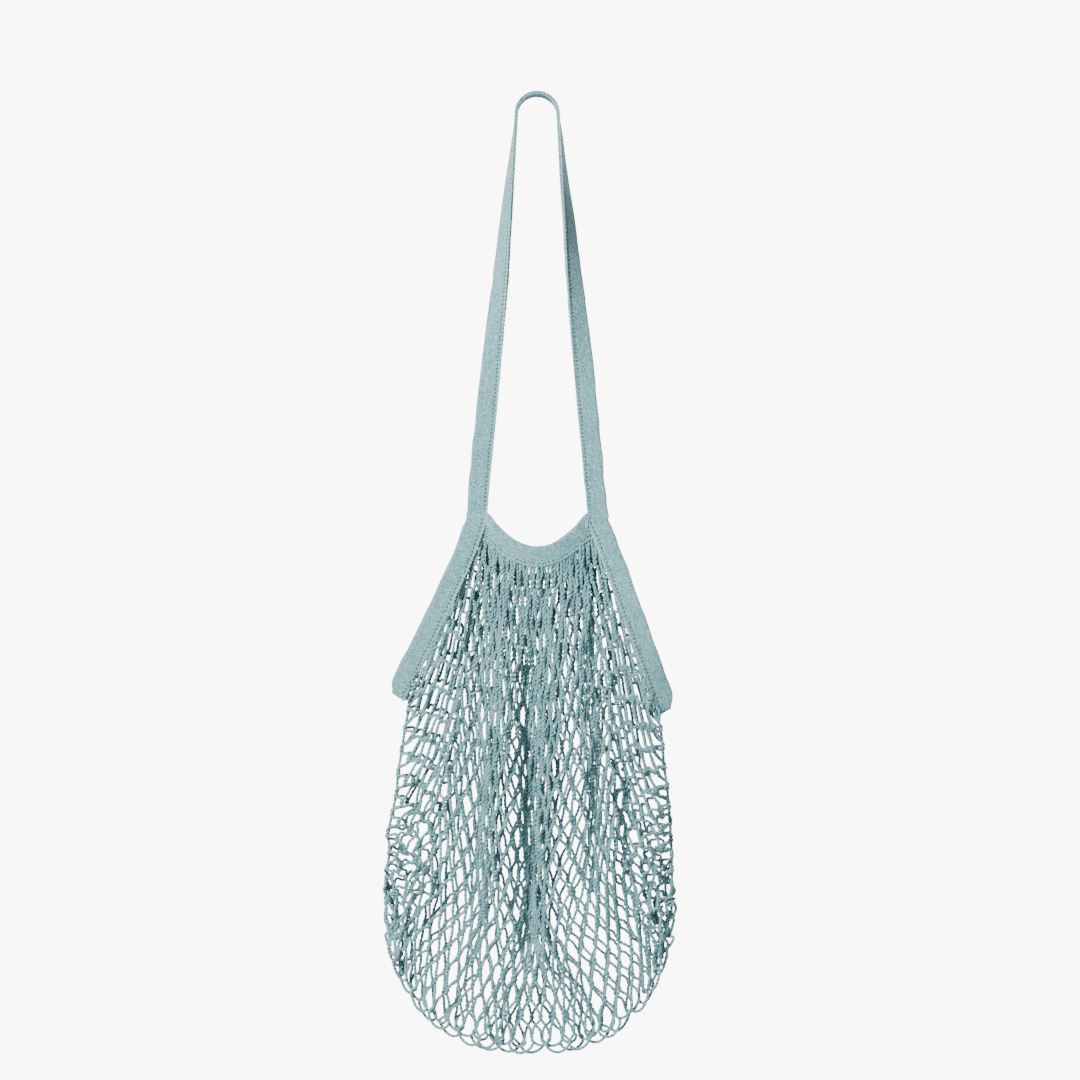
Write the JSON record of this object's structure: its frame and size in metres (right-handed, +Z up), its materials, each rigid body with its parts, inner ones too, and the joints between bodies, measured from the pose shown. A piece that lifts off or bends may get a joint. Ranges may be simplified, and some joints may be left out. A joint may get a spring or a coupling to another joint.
{
  "type": "mesh produce bag",
  "caption": "Hanging string bag: a knitted open-mesh cotton net bound with folded tape, on one long shoulder handle of the same tape.",
  "frame": {"origin": "hang point: the underside of the handle where it crosses the peg or hook that holds the bag up", "axes": "+X across the bag to the viewer's right, +Y from the front to the wall behind, +Z up the hanging bag"},
  "size_m": [0.2081, 0.06, 0.6916],
  "materials": {
    "cotton_tape": "heathered grey-teal knitted cotton tape, matt",
    "cotton_yarn": "heathered grey-teal plied cotton yarn, matt and slightly hairy",
    "sewing_thread": "darker teal cotton sewing thread, matt"
  },
  "bodies": {
    "handle": {"handle_tape": "cotton_tape", "handle_stitching": "sewing_thread", "left_foot_tack": "sewing_thread", "right_foot_tack": "sewing_thread"},
    "bag": {"left_side_tape": "cotton_tape", "right_side_tape": "cotton_tape", "left_side_stitching": "sewing_thread", "right_side_stitching": "sewing_thread", "front_left_rim_tack": "sewing_thread", "front_right_rim_tack": "sewing_thread", "back_left_rim_tack": "sewing_thread", "back_right_rim_tack": "sewing_thread", "net_front": "cotton_yarn", "net_back": "cotton_yarn", "left_linking_yarn": "cotton_yarn", "right_linking_yarn": "cotton_yarn", "bottom_linking_yarn": "cotton_yarn"},
    "front_rim": {"front_rim_tape": "cotton_tape", "front_rim_stitching": "sewing_thread"},
    "back_rim": {"back_rim_tape": "cotton_tape", "back_rim_stitching": "sewing_thread"}
  },
  "joints": [
    {"name": "handle_fold", "type": "hinge", "parent": "handle", "child": "bag", "pos_m": [0, 0, -0.303], "axis": [1, 0, 0], "range_deg": [-120, 120]},
    {"name": "front_mouth_opening", "type": "hinge", "parent": "bag", "child": "front_rim", "pos_m": [0, -0.0026, -0.3025], "axis": [-1, 0, 0], "range_deg": [0, 90]},
    {"name": "back_mouth_opening", "type": "hinge", "parent": "bag", "child": "back_rim", "pos_m": [0, 0.0026, -0.3025], "axis": [1, 0, 0], "range_deg": [0, 90]}
  ]
}
